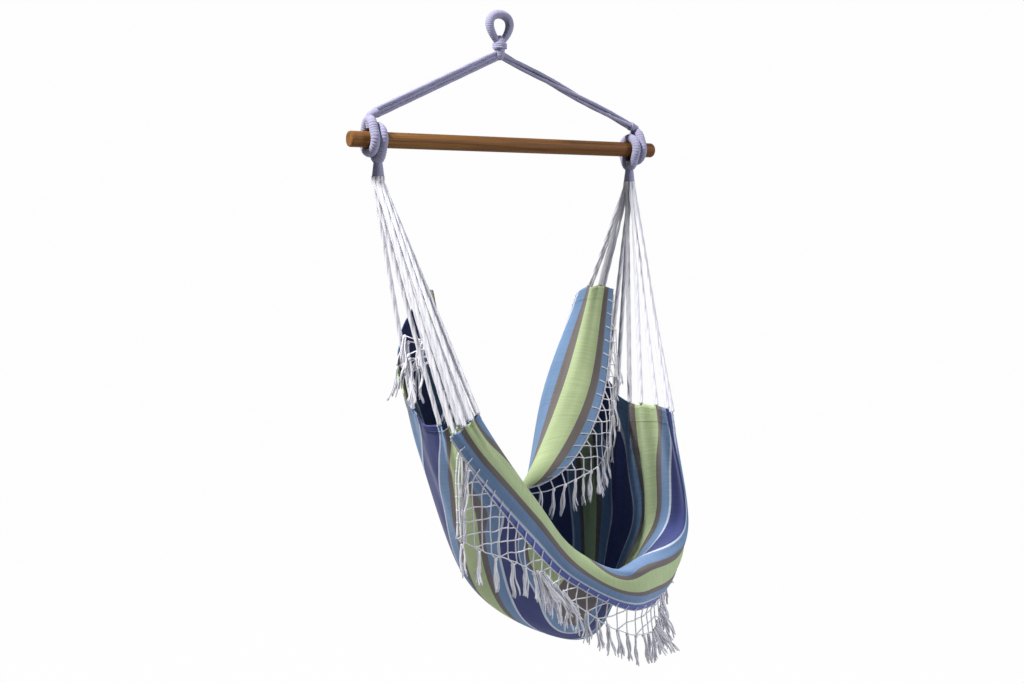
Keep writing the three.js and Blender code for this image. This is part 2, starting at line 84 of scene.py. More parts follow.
# Sizes of what only this script draws
PLY_SHARE = 0.7  # of a cord's radius, for three plies that are pressed into each other
STRAND_PLY_SHARE = 0.86  # thicker plies, for shallower grooves
CORD_PLIES = 3
CORD_LOOKS = np.array([3.9, 4.7, 5.7]) * MM  # a cord's radius at its collar, below it and further on
CORD_LAY = 140 * MM  # along a cord, for one turn of its plies
STRAND_LOOK_RADIUS = 4.4 * MM
STRAND_LAY = 160 * MM
STRAND_BITE = 3 * MM  # how far a strand starts inside its collar
RIGHT_BUNDLE_HALF_WIDTH = 6.615 * MM  # the right strands turn about each other
RIGHT_BUNDLE_HALF_DEPTH = 3.92 * MM
RIGHT_BUNDLE_TURNS = 0.7
RIGHT_BUNDLE_START = 0.5
EYE_RELIEF = 0.8 * MM  # how far the serving's ridges stand out from the solid eye
NET_OUT = 2 * MM  # from the selvedge to where the threads start
NET_COLUMN = 36 * MM  # from one upright thread of a net to the next, along the selvedge
NET_ROW = 30 * MM
NET_THREAD = 1.6 * MM
NET_KNOT_RADIUS = 2.7 * MM
TOP_SHARE = 0.3  # of a row, which a thread's first knot keeps below its top
FOOT_SHARE = 0.45
TWIN_DROP = 7 * MM
TASSEL_CLUMPS = 3
TASSEL_NECK_RADIUS = 2.4 * MM
TASSEL_WAVE = 2.6 * MM
TASSEL_YARN_RADIUS = 1.75 * MM
TASSEL_TIP_RADIUS = 1.3 * MM
TASSEL_KNOT_RADIUS = 4.6 * MM
STRAY_TASSELS = 10
HEM_KNOT_RADIUS = 5.2 * MM
EDGING_END = 0.985  # of the way from the cloth's middle to a hem
EDGING_OUT = 2.2 * MM
EDGING_RADIUS = 2.1 * MM
EDGING_PLIES = 2
EDGING_LAY = 16 * MM
STITCH_STEP = 36 * MM
STITCH_BITE = 20 * MM
STITCH_LEAN = 0.004
STITCH_OUT = 5 * MM
STITCH_LIFT = 3.2 * MM
STITCH_RADIUS = 1.5 * MM
HEM_STITCH_ROWS = (6, 16, 27)  # millimetres from the hem's edge
HEM_STITCH_LENGTH = 7 * MM
HEM_YARN_RADIUS = 0.8 * MM
CLOTH_HALF_THICKNESS = 0.7 * MM
HEM_DEPTH = 30 * MM
HEM_EXTRA = 0.7 * MM
SELVEDGE_WIDTH = 10 * MM
SELVEDGE_EXTRA = 0.5 * MM

# Pleats and sag between the cords, and ridges down the cloth: each ridge pattern has a height in
# millimetres, its waves across and along the cloth and where it starts
PLEAT_MAX_WIDTH = 90 * MM
PLEAT_DEPTH_SHARE = 0.10
PLEAT_MAX_DEPTH = 6 * MM
PLEAT_REACH_SHARE = 2.6
PLEAT_LEAST_REACH = 20 * MM
SAG_SHARE = 0.07
MAX_SAG = 4 * MM
SAG_REACH = 30 * MM
RIDGES = ((2.6, 4.3, 0.7, 0.3), (1.9, 7.7, -0.9, 1.9), (1.2, 12.9, 1.3, 4.1), (0.7, 21.0, -0.6, 2.2))
RIDGE_REACH = 0.55
SMOOTH_EDGE_SHARE = 0.03

# The drape: where the cloth is from the bar's middle, at steps along it and, in each of these, across it,
# as shares of the half width, the half depth and the drop. The solids have the same places, which were fitted
# to the photograph with another program and not chosen as round values.
ALONG_SHARES = np.array([-1, -0.72, -0.4, 0, 0.4, 0.72, 1])
ACROSS_SHARES = np.array([0, 0.07, 0.14, 0.22, 0.33, 0.45, 0.57, 0.69, 0.8, 0.9, 1])
CLOTH_SHARES = np.array([
    [
      [-0.761, -0.795, -0.549], [-0.664, -0.914, -0.519], [-0.575, -0.798, -0.511],
      [-0.606, -0.547, -0.54], [-0.667, -0.249, -0.542], [-0.733, 0.094, -0.513], [-0.711, 0.293, -0.451],
      [-0.675, 0.392, -0.385], [-0.593, 0.346, -0.318], [-0.544, 0.133, -0.283], [-0.661, -0.037, -0.31],
    ],
    [
      [-0.565, -0.834, -0.641], [-0.506, -0.93, -0.597], [-0.454, -0.796, -0.569],
      [-0.505, -0.517, -0.619], [-0.561, -0.187, -0.644], [-0.577, 0.2, -0.641], [-0.513, 0.457, -0.598],
      [-0.489, 0.603, -0.528], [-0.448, 0.499, -0.453], [-0.386, 0.211, -0.432], [-0.443, -0.064, -0.465],
    ],
    [
      [-0.232, -0.856, -0.77], [-0.223, -0.934, -0.716], [-0.197, -0.853, -0.682],
      [-0.215, -0.589, -0.745], [-0.259, -0.2, -0.82], [-0.253, 0.247, -0.887], [-0.161, 0.605, -0.862],
      [-0.149, 0.781, -0.768], [-0.175, 0.746, -0.676], [-0.186, 0.382, -0.614], [-0.202, -0.008, -0.589],
    ],
    [
      [0.107, -0.836, -0.867], [0.122, -0.935, -0.837], [0.135, -0.856, -0.804], [0.167, -0.656, -0.866],
      [0.246, -0.406, -0.965], [0.302, 0.018, -1.028], [0.237, 0.506, -0.992], [0.181, 0.814, -0.907],
      [0.126, 0.877, -0.81], [0.119, 0.531, -0.743], [0.092, 0.097, -0.706],
    ],
    [
      [0.678, -0.772, -0.954], [0.681, -0.924, -0.912], [0.639, -0.968, -0.866], [0.6, -0.852, -0.843],
      [0.584, -0.576, -0.901], [0.653, -0.251, -1.003], [0.699, 0.215, -1.019], [0.65, 0.702, -0.928],
      [0.434, 0.855, -0.805], [0.317, 0.412, -0.693], [0.431, -0.124, -0.652],
    ],
    [
      [1.056, -0.373, -0.919], [1.111, -0.547, -0.871], [1.135, -0.645, -0.825], [1.11, -0.655, -0.786],
      [1.007, -0.39, -0.792], [0.95, 0.043, -0.828], [0.902, 0.435, -0.806], [0.788, 0.775, -0.701],
      [0.503, 0.545, -0.519], [0.553, 0.157, -0.498], [0.678, -0.138, -0.511],
    ],
    [
      [1.077, -0.21, -0.618], [1.031, -0.46, -0.586], [0.938, -0.727, -0.555], [0.815, -0.907, -0.533],
      [0.847, -0.544, -0.532], [0.867, -0.138, -0.536], [0.903, 0.198, -0.502], [0.83, 0.49, -0.428],
      [0.665, 0.283, -0.31], [0.692, 0.066, -0.287], [0.776, -0.09, -0.296],
    ],
])

# Where across each hem its cords enter it, and which place each has in the collar; another program searched
# for the places that keep the cords apart
LEFT_HEM_SHARES = np.array([0.015, 0.045, 0.075, 0.115, 0.155, 0.19, 0.225, 0.265, 0.31, 0.43, 0.87, 0.915])
RIGHT_HEM_SHARES = np.array([0.1, 0.17, 0.22, 0.28, 0.35, 0.42, 0.5, 0.58, 0.68, 0.76, 0.86, 0.93])
LEFT_COLLAR_PLACES = [9, 10, 11, 3, 2, 8, 0, 1, 7, 6, 5, 4]
RIGHT_COLLAR_PLACES = [11, 2, 10, 9, 3, 8, 0, 4, 1, 5, 6, 7]
HEM_CORDS = {
    "left": (LEFT_HEM_SHARES, LEFT_COLLAR_PLACES),
    "right": (RIGHT_HEM_SHARES, RIGHT_COLLAR_PLACES),
}

# How deep each net hangs, at even places from its left end to its right one
FRONT_NET_DEPTH = 200 * MM
REAR_NET_DEPTH = 120 * MM
FRONT_NET_SHARES = np.array([1, 0.62, 0.28, 0.2, 0.27, 0.33, 0.36, 0.4, 0.4])
REAR_NET_SHARES = np.array([0.7, 0.6, 0.45, 0.3, 0.2, 0.5, 1, 0.85, 0.7])
TASSEL_LENGTH = 80 * MM

# Tassels that hang over others in two places: from and to where along the cloth, how many, how they lean
# along and across, and how far they start above the net's foot, in millimetres
FRONT_CLUMPS = ((-0.34, -0.06, 12, 0.55, -0.1, 25), (0.5, 0.9, 6, 0.5, 0, 20))

# The cloth as it was cut, and the stripes of one half of it, from its middle line to a selvedge
FLAT_WIDTH = 1.074
FLAT_LENGTH = 1.42
STRIPES = [("N", 40), ("w", 8), ("s", 36), ("g", 20), ("G", 68), ("g", 20), ("s", 36), ("w", 8), ("N", 80),
           ("w", 8), ("s", 36), ("g", 20), ("G", 68), ("g", 20), ("s", 36), ("w", 8), ("n", 25)]
STRIPE_COLOURS = {
    "s": (0.185, 0.300, 0.500),
    "g": (0.185, 0.160, 0.150),
    "G": (0.500, 0.620, 0.320),
    "N": (0.058, 0.072, 0.215),
    "n": (0.125, 0.170, 0.470),
    "w": (0.640, 0.710, 0.840),
}

# How the stripes were pulled aside on the drape: millimetres across the flat cloth, then where that is most
# and how far it reaches, first along the cloth and then across it
STRIPE_PULLS = [
    (-190, 0.10, 0.38, 0.36, 0.13),
    (-85, 0.00, 0.30, 0.53, 0.15),
    (-120, -0.20, 0.14, 0.22, 0.06),
    (155, -0.95, 0.38, 0.34, 0.26),
    (-45, 0.00, 4.00, 1.00, 0.15),
    (-45, -1.00, 0.50, 1.00, 0.12),
    (60, 0.20, 0.15, 0.13, 0.05),
    (80, 0.55, 0.20, 0.65, 0.10),
    (60, 0.75, 0.12, 0.44, 0.10),
    (65, 1.00, 0.12, 0.27, 0.10),
    (-105, 1.00, 0.12, 0.62, 0.14),
    (-60, 1.00, 0.45, 0.00, 0.08),
    (-70, 0.47, 0.10, 0.44, 0.05),
    (45, -0.50, 0.10, 0.23, 0.06),
]

# Colours of the rope, the cords and the wood
LAVENDER = (0.330, 0.326, 0.470)
LAVENDER_SHADE = (0.150, 0.145, 0.240)
WHITE_YARN = (0.790, 0.790, 0.840)
WHITE_YARN_SHADE = (0.480, 0.470, 0.560)
WOOD_DARK = (0.165, 0.066, 0.014)
WOOD_LIGHT = (0.245, 0.112, 0.030)
WOOD_GRAIN = (0.085, 0.031, 0.011)
WOOD_PORES = (0.090, 0.034, 0.012)

# Tones laid over the canvas stripes: a paler tint along the weave's yarns, painted shade in the gaps between
# the yarns, and soft darker patches at random
YARN_LIGHT = (0.85, 0.87, 0.95)
PAINTED_WEAVE_SHADE = (0.10, 0.10, 0.16)
SOFT_DARK_PATCHES = (0.45, 0.45, 0.52)

# Surroundings
FLOOR_PAPER = (0.55, 0.55, 0.56)
FLOOR_Z = -2.35
FLOOR_REACH = 14
FLOOR_WHITE = 0.985  # how much of the floor that is seen is plain white, and not shaded paper
SKY_WHITE = 0.988  # as bright as the floor, so that no horizon shows
SKY_TINT = (0.90, 0.93, 1.0)
SKY_LIGHT = 0.10

rng = np.random.default_rng(7)


# Camera, which comes before the cords

LENS = 45.7
CAMERA_PLACE = (-1.800, -2.744, -0.499)
CAMERA_TILT = 84.7
CAMERA_TURN = -33.8

camera_data = bpy.data.cameras.new("camera")
camera_data.sensor_width = 36
camera_data.lens = LENS
camera = bpy.data.objects.new("camera", camera_data)
camera.location = CAMERA_PLACE
camera.rotation_euler = (math.radians(CAMERA_TILT), 0, math.radians(CAMERA_TURN))
bpy.context.scene.collection.objects.link(camera)
bpy.context.scene.camera = camera


# Materials


def material(name):
    made = bpy.data.materials.new(name)
    made.use_nodes = True
    tree = made.node_tree
    shader = tree.nodes["Principled BSDF"]
    return made, tree, shader


def node(tree, kind, inputs=None, **settings):
    made = tree.nodes.new(kind)
    for key, value in settings.items():
        setattr(made, key, value)
    for key, value in (inputs or {}).items():
        if isinstance(value, bpy.types.NodeSocket):
            tree.links.new(value, made.inputs[key])
        else:
            made.inputs[key].default_value = value
    return made


def noise(tree, vector, scale, detail=2.0, roughness=0.5):
    return node(tree, "ShaderNodeTexNoise", {"Vector": vector, "Scale": scale, "Detail": detail,
                                             "Roughness": roughness}).outputs["Fac"]


def stretched(tree, vector, scale):
    return node(tree, "ShaderNodeVectorMath", {0: vector, 1: scale}, operation="MULTIPLY").outputs[0]


def mixed(tree, share, first, second, blend="MIX"):
    made = node(tree, "ShaderNodeMix", {"Factor": share}, data_type="RGBA", blend_type=blend)
    for socket, value in ((made.inputs[6], first), (made.inputs[7], second)):
        if isinstance(value, bpy.types.NodeSocket):
            tree.links.new(value, socket)
        else:
            socket.default_value = value
    return made.outputs[2]


def ranged(tree, value, low, high, start=0.3, end=0.7):
    return node(tree, "ShaderNodeMapRange", {"Value": value, "From Min": start, "From Max": end,
                                             "To Min": low, "To Max": high}).outputs[0]


def bumped(tree, shader, height, distance, strength=1.0):
    made = node(tree, "ShaderNodeBump", {"Height": height, "Distance": distance, "Strength": strength})
    tree.links.new(made.outputs[0], shader.inputs["Normal"])


def colour(rgb):
    return (*rgb, 1.0)


def yarn_material(name, rgb, dark):
    made, tree, shader = material(name)
    place = node(tree, "ShaderNodeNewGeometry").outputs["Position"]
    fuzz = noise(tree, place, 420, 2)
    patch = noise(tree, place, 35, 2)
    shade = mixed(tree, ranged(tree, patch, 0, 0.25), colour(rgb), colour(dark))
    shade = mixed(tree, ranged(tree, fuzz, 0, 0.15), shade, colour(dark))
    tree.links.new(shade, shader.inputs["Base Color"])
    shader.inputs["Roughness"].default_value = 0.88
    shader.inputs["Sheen Weight"].default_value = 0.25
    shader.inputs["Specular IOR Level"].default_value = 0.2
    bumped(tree, shader, fuzz, 0.0002, 0.15)
    return made


def wood_material():
    made, tree, shader = material("oiled hardwood")
    place = node(tree, "ShaderNodeNewGeometry").outputs["Position"]
    grain = noise(tree, stretched(tree, place, (3, 160, 160)), 1.0, 4, 0.6)
    fine = noise(tree, stretched(tree, place, (14, 900, 900)), 1.0, 3, 0.6)
    broad = noise(tree, stretched(tree, place, (2, 26, 26)), 1.0, 2)
    base = mixed(tree, ranged(tree, broad, 0, 1), colour(WOOD_DARK), colour(WOOD_LIGHT))
    base = mixed(tree, ranged(tree, grain, 0, 0.85, 0.42, 0.64), base, colour(WOOD_GRAIN))
    base = mixed(tree, ranged(tree, fine, 0, 0.30), base, colour(WOOD_PORES))
    tree.links.new(base, shader.inputs["Base Color"])
    shader.inputs["Roughness"].default_value = 0.55
    shader.inputs["Specular IOR Level"].default_value = 0.15
    bumped(tree, shader, grain, 0.0004, 0.5)
    return made


def canvas_material():
    made, tree, shader = material("striped cotton canvas")
    uv = node(tree, "ShaderNodeUVMap", uv_map="cloth").outputs["UV"]
    across = node(tree, "ShaderNodeSeparateXYZ", {0: uv}).outputs[0]
    off = node(tree, "ShaderNodeMath", {0: across, 1: FLAT_WIDTH / 2}, operation="SUBTRACT").outputs[0]
    off = node(tree, "ShaderNodeMath", {0: off}, operation="ABSOLUTE").outputs[0]
    share = node(tree, "ShaderNodeMath", {0: off, 1: FLAT_WIDTH / 2}, operation="DIVIDE").outputs[0]
    ramp = node(tree, "ShaderNodeValToRGB", {"Fac": share})
    ramp.color_ramp.interpolation = "CONSTANT"
    total = sum(width for _, width in STRIPES)
    at = 0
    for i, (letter, width) in enumerate(STRIPES):
        stops = ramp.color_ramp.elements
        stop = stops[i] if i < 2 else stops.new(at / total)
        stop.position = at / total
        stop.color = colour(STRIPE_COLOURS[letter])
        at += width
    yarns = noise(tree, stretched(tree, uv, (620, 7, 1)), 1.0, 2, 0.6)
    picks = noise(tree, stretched(tree, uv, (12, 520, 1)), 1.0, 2, 0.6)
    soft = noise(tree, uv, 9, 3)
    striped = ramp.outputs["Color"]
    base = mixed(tree, ranged(tree, yarns, 0, 0.35), striped, colour(YARN_LIGHT), "SOFT_LIGHT")
    # painted shade in the gaps between the yarns, in streaks along the picks
    base = mixed(tree, ranged(tree, picks, 0, 0.22), base, colour(PAINTED_WEAVE_SHADE), "MULTIPLY")
    # soft darker patches at random over the cloth
    base = mixed(tree, ranged(tree, soft, 0, 0.22), base, colour(SOFT_DARK_PATCHES), "MULTIPLY")
    tree.links.new(base, shader.inputs["Base Color"])
    shader.inputs["Roughness"].default_value = 0.85
    shader.inputs["Sheen Weight"].default_value = 0.15
    shader.inputs["Specular IOR Level"].default_value = 0.2
    weave = node(tree, "ShaderNodeMath", {0: yarns, 1: picks}, operation="ADD").outputs[0]
    bumped(tree, shader, weave, 0.0008, 0.5)
    return made


LAVENDER_ROPE = yarn_material("lavender rope", LAVENDER, LAVENDER_SHADE)
WHITE_COTTON = yarn_material("white cotton", WHITE_YARN, WHITE_YARN_SHADE)
HARDWOOD = wood_material()
CANVAS = canvas_material()


# Meshes


def unit(v):
    return v / np.maximum(np.linalg.norm(v, axis=-1, keepdims=True), 1e-12)


class Shape:
    """Points and four-cornered faces, gathered from several parts into one piece."""

    def __init__(self):
        self.points, self.faces, self.uvs, self.count = [], [], [], 0

    def add(self, points, faces, uvs=None):
        self.points.append(points)
        self.faces.append(faces + self.count)
        if uvs is not None:
            self.uvs.append(uvs)
        self.count += len(points)

    def piece(self, name, look, body, slot, *nodes):
        points, faces = np.concatenate(self.points), np.concatenate(self.faces)
        mesh = bpy.data.meshes.new(name)
        mesh.vertices.add(len(points))
        mesh.vertices.foreach_set("co", points.astype(np.float32).ravel())
        mesh.loops.add(faces.size)
        mesh.loops.foreach_set("vertex_index", faces.astype(np.int32).ravel())
        mesh.polygons.add(len(faces))
        mesh.polygons.foreach_set("loop_start", np.arange(0, faces.size, 4, dtype=np.int32))
        mesh.polygons.foreach_set("use_smooth", np.ones(len(faces), bool))
        if self.uvs:
            layer = mesh.uv_layers.new(name="cloth")
            corners = np.concatenate(self.uvs)[faces.ravel()]
            layer.data.foreach_set("uv", corners.astype(np.float32).ravel())
        mesh.update(calc_edges=True)
        mesh.validate()
        mesh.materials.append(look)
        made = bpy.data.objects.new(name, mesh)
        bpy.context.scene.collection.objects.link(made)
        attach(made, body)
        if nodes:
            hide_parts(*nodes)
        return made


def carried(paths, closed):
    """Two directions across each path that don't turn about it."""
    step = np.roll(paths, -1, 1) - np.roll(paths, 1, 1) if closed else np.gradient(paths, axis=1)
    along = unit(step)
    upright = np.abs(along[:, :1, 2:]) > 0.9
    first = np.where(upright, np.array([1.0, 0, 0]), UP)
    side = np.empty_like(along)
    side[:, 0] = unit(np.cross(along[:, 0], first[:, 0]))
    for i in range(1, paths.shape[1]):
        before = side[:, i - 1]
        side[:, i] = unit(before - along[:, i] * (before * along[:, i]).sum(-1, keepdims=True))
    return side, np.cross(along, side)


def tubes(shape, paths, radii, sides=6, closed=False, uvs=None):
    """Round tubes along paths of equal numbers of points; radii may vary along and about them."""
    paths = np.asarray(paths, float)
    paths = paths[None] if paths.ndim == 2 else paths
    many, long = paths.shape[:2]
    radii = np.asarray(radii, float)
    if radii.ndim < 3:
        radii = np.broadcast_to(radii, (many, long))[..., None]
    radii = np.broadcast_to(radii, (many, long, sides))
    side, other = carried(paths, closed)
    turn = np.arange(sides) * 2 * math.pi / sides
    out = np.cos(turn)[:, None] * side[:, :, None] + np.sin(turn)[:, None] * other[:, :, None]
    points = paths[:, :, None] + radii[..., None] * out
    index = np.arange(many * long * sides).reshape(many, long, sides)
    here = index if closed else index[:, :-1]
    there = np.roll(index, -1, 1) if closed else index[:, 1:]
    faces = np.stack([here, there, np.roll(there, -1, 2), np.roll(here, -1, 2)], -1).reshape(-1, 4)
    if not closed:
        for ring in (index[:, 0], index[:, -1][:, ::-1]):
            caps = [ring[:, [0, k, k + 1, k + 2]] for k in range(1, sides - 1, 2)]
            faces = np.concatenate([faces, *caps])
    shape.add(points.reshape(-1, 3), faces, None if uvs is None else np.repeat(uvs, sides, axis=0))


def lengths(path, closed=False):
    steps = np.linalg.norm(np.diff(path, axis=0), axis=1)
    total = steps.sum() + (np.linalg.norm(path[0] - path[-1]) if closed else 0)
    return np.concatenate([[0], np.cumsum(steps)]), total


def resampled(path, count, closed=False):
    whole = np.concatenate([path, path[:1]]) if closed else path
    at, total = lengths(whole)
    want = np.linspace(0, total, count, endpoint=not closed)
    return np.stack([np.interp(want, at, whole[:, k]) for k in range(3)], -1)


def served(shape, path, radius, pitch, depth, closed=False, sides=24, steps=7):
    """A rope wound with cord: each turn is a rounded ridge that climbs about the rope."""
    _, total = lengths(path, closed)
    turns = max(3, round(total / pitch))
    fine = resampled(path, turns * steps + (0 if closed else 1), closed)
    share = np.arange(len(fine)) / (turns * steps)
    radius = np.interp(share, np.linspace(0, 1, len(np.atleast_1d(radius))), np.atleast_1d(radius))
    phase = (share * turns)[:, None] + np.arange(sides)[None] / sides
    ridge = np.sqrt(np.maximum(0, 1 - (2 * (phase % 1) - 1) ** 2))
    wobble = 1 + 0.012 * np.sin(7.3 * phase + np.cos(phase * 2.1))
    tubes(shape, fine, (radius[:, None] * wobble - depth * (1 - ridge))[None], sides, closed)


def plied(shape, path, radius, plies, pitch, sides=6, start=0.0, ply_share=PLY_SHARE):
    """A cord of two or three plies twisted about each other; its radius may vary along it."""
    side, other = carried(path[None], False)
    at, _ = lengths(path)
    radius = np.broadcast_to(radius, len(path))[:, None]
    ply = radius * (0.5 if plies == 2 else ply_share)
    lines = []
    for k in range(plies):
        turn = (2 * math.pi * (at / pitch + k / plies) + start)[:, None]
        lines.append(path + (radius - ply) * (np.cos(turn) * side[0] + np.sin(turn) * other[0]))
    tubes(shape, np.array(lines), np.repeat(ply.T * 1.1, plies, axis=0), sides)


def ball(shape, centres, radii, squash=0.8, rings=5, sides=6):
    """Small knots, as round lumps."""
    centres = np.atleast_2d(centres)
    lift = np.linspace(-1, 1, rings)
    paths = centres[:, None] + UP * (lift[None, :, None] * np.reshape(radii, (-1, 1, 1)) * squash)
    around = np.sqrt(np.maximum(0.06, 1 - lift ** 2))[None] * np.reshape(radii, (-1, 1))
    tubes(shape, paths, around, sides)


# Hanger

LOOP_POINTS = 90
LOOP_CURVE_WIDTH = 0.77  # the most that sin(a) * sin(a / 2) reaches

loop_half_width = LOOP_WIDTH / 2 - LOOP_ROPE_RADIUS
loop_drop = LOOP_HEIGHT - 2 * LOOP_ROPE_RADIUS
angles = np.linspace(LOOP_FOOT_ANGLE, 2 * math.pi - LOOP_FOOT_ANGLE, LOOP_POINTS)
loop_path = np.stack([
    -loop_half_width / LOOP_CURVE_WIDTH * np.sin(angles) * np.sin(angles / 2),
    np.zeros_like(angles),
    LOOP_ROPE_RADIUS - loop_drop * (1 + np.cos(angles)) / 2,
], -1)
loop_foot = loop_path[0, 2]
wrap_top = loop_foot - LOOP_FOOT_RADIUS
wrap_foot = wrap_top - NECK_WRAP_HEIGHT
neck_foot = wrap_foot - NECK_TAIL_HEIGHT

loop = Shape()
swelling = np.minimum(np.linspace(0, 4, LOOP_POINTS), 1)  # each leg is at full thickness after a quarter
loop_radii = LOOP_FOOT_RADIUS + (LOOP_ROPE_RADIUS - LOOP_FOOT_RADIUS) * np.minimum(swelling, swelling[::-1])
served(loop, loop_path, loop_radii, pitch=4.4 * MM, depth=0.8 * MM)
core_z = np.array([
    loop_foot + 12 * MM, loop_foot + 6 * MM, loop_foot, wrap_top, wrap_foot, neck_foot + 6 * MM, neck_foot,
])
core_radii = np.array([5, 13, 15.5, 13, 13, 12, 8]) * MM
core = np.stack([0 * core_z, 0 * core_z, core_z], -1)
smooth_radii = np.interp(np.linspace(0, 1, 30), np.linspace(0, 1, len(core_radii)), core_radii)
served(loop, core, smooth_radii, pitch=4.6 * MM, depth=0.8 * MM)
loop.piece("whipped_loop", LAVENDER_ROPE, "hanger", "served_rope", "hanging_loop")

wrap = Shape()
wrap_path = np.array([[0, 0, wrap_top + 1 * MM], [0, 0, wrap_foot - 1 * MM]])
served(wrap, wrap_path, NECK_WRAP_RADIUS, pitch=5.5 * MM, depth=1.6 * MM)
wrap.piece("neck_whipping", LAVENDER_ROPE, "hanger", "served_rope", "neck_wrap")


def hanger_eye_x(side):
    return BAR_MIDDLE[0] + side * (BAR_LENGTH / 2 - HANGER_EYE_INSET)


def seat_eye_x(side):
    return hanger_eye_x(side) - side * (2 * SERVED_RADIUS + EYE_SIDE_GAP)


def served_eye(x, points_up):
    """An eye of served rope round the bar, drawn out to a point at its top (1) or its foot (-1)."""
    turn = np.linspace(0, 2 * math.pi, 120, endpoint=False)
    reach = EYE_RADIUS + EYE_POINT * np.maximum(0, np.cos(turn)) ** EYE_POINT_SHARPNESS
    z = points_up * reach * np.cos(turn)
    path = np.stack([0 * turn + x, reach * np.sin(turn), BAR_MIDDLE[2] + z], -1)
    eye = Shape()
    served(eye, path, SERVED_RADIUS + EYE_RELIEF, pitch=6.2 * MM, depth=1.4 * MM, closed=True)
    return eye


def add_cord(name, path, radius, pitch, look, body, slot, cad_node, start, sides=8, ply_share=PLY_SHARE):
    shape = Shape()
    plied(shape, path, radius, CORD_PLIES, pitch, sides, start, ply_share)
    made = shape.piece(name, look, body, slot, cad_node)


neck_place = np.array([0, 0, wrap_foot - NECK_TAIL_HEIGHT / 2])
for side, word in SIDES:
    x = hanger_eye_x(side)
    root = np.array([x, 0, BAR_MIDDLE[2] + EYE_RADIUS])
    bend = root + HANGER_COLLAR_RISE * UP
    pull = unit(neck_place - bend)
    end = bend + HANGER_COLLAR_LENGTH * pull
    eye = served_eye(x, 1)
    collar = np.array([root - 4 * MM * UP, root, bend - 6 * MM * UP, bend + 4 * MM * pull, end])
    served(eye, collar, np.array([8, 9.5, 10.5, 11, 12.2]) * MM, pitch=5.8 * MM, depth=1.1 * MM)
    eye.piece(f"hanger_eye_served_{word}", LAVENDER_ROPE, "hanger", "served_rope", f"hanger_eye_{word}")
    level = np.cross(pull, BACKWARDS)
    share = np.linspace(0, 1, 140)[:, None]
    start = end - STRAND_BITE * pull
    straight = start + share * (neck_place - start)
    for i in range(STRANDS):
        if word == "left":
            offset = (i - 1) * STRAND_PITCH * level
        else:
            turn = 2 * math.pi * (i / STRANDS + RIGHT_BUNDLE_TURNS * share) + RIGHT_BUNDLE_START
            offset = (RIGHT_BUNDLE_HALF_WIDTH * np.cos(turn) * level
                      + RIGHT_BUNDLE_HALF_DEPTH * np.sin(turn) * BACKWARDS)
        add_cord(f"hanger_strand_{word}_{i + 1}", straight + offset, STRAND_LOOK_RADIUS, STRAND_LAY,
                 LAVENDER_ROPE, "hanger", "hanger_rope", f"hanger_rope_{word}_{i + 1}", start=i * 1.1,
                 sides=14, ply_share=STRAND_PLY_SHARE)


# Seat cloth


def curve(values, knots, at):
    """A smooth curve through a table's rows, at many places; values may be one table for each."""
    gaps = np.diff(knots)
    rise = np.diff(values, axis=-2) / gaps[:, None]
    slopes = np.empty_like(values)
    slopes[..., 0, :], slopes[..., -1, :] = rise[..., 0, :], rise[..., -1, :]
    before, after = rise[..., :-1, :] * gaps[1:, None], rise[..., 1:, :] * gaps[:-1, None]
    slopes[..., 1:-1, :] = (before + after) / (gaps[1:] + gaps[:-1])[:, None]
    i = np.clip(np.searchsorted(knots, at, side="right") - 1, 0, len(knots) - 2)
    span = gaps[i][:, None]
    u = (at - knots[i])[:, None] / span

    def pick(table, k):
        return table[k] if table.ndim == 2 else table[np.arange(len(at)), k]

    return ((2 * u ** 3 - 3 * u ** 2 + 1) * pick(values, i)
            + (u ** 3 - 2 * u ** 2 + u) * span * pick(slopes, i)
            + (3 * u ** 2 - 2 * u ** 3) * pick(values, i + 1)
            + (u ** 3 - u ** 2) * span * pick(slopes, i + 1))


def smooth_place(along, across):
    """The cloth without its folds: -1 to 1 along it, left to right, and 0 to 1 across it, front to rear."""
    sections = curve(CLOTH_SHARES.reshape(len(ALONG_SHARES), -1), ALONG_SHARES, along)
    rows = sections.reshape(len(along), len(ACROSS_SHARES), 3)
    half = np.array([SEAT_HALF_WIDTH, SEAT_HALF_DEPTH, SEAT_DROP])
    return curve(rows, ACROSS_SHARES, across) * half + BAR_MIDDLE


def faced(along, across):
    """The cloth's direction along it and its normal, at many places."""
    step = 0.004
    low, high = np.clip(along - step, -1, 1), np.clip(along + step, -1, 1)
    down = unit(smooth_place(high, across) - smooth_place(low, across))
    low, high = np.clip(across - step, 0, 1), np.clip(across + step, 0, 1)
    over = unit(smooth_place(along, high) - smooth_place(along, low))
    return down, unit(np.cross(down, over))


def to_hem(along):
    return (1 - np.abs(along)) * FLAT_LENGTH / 2


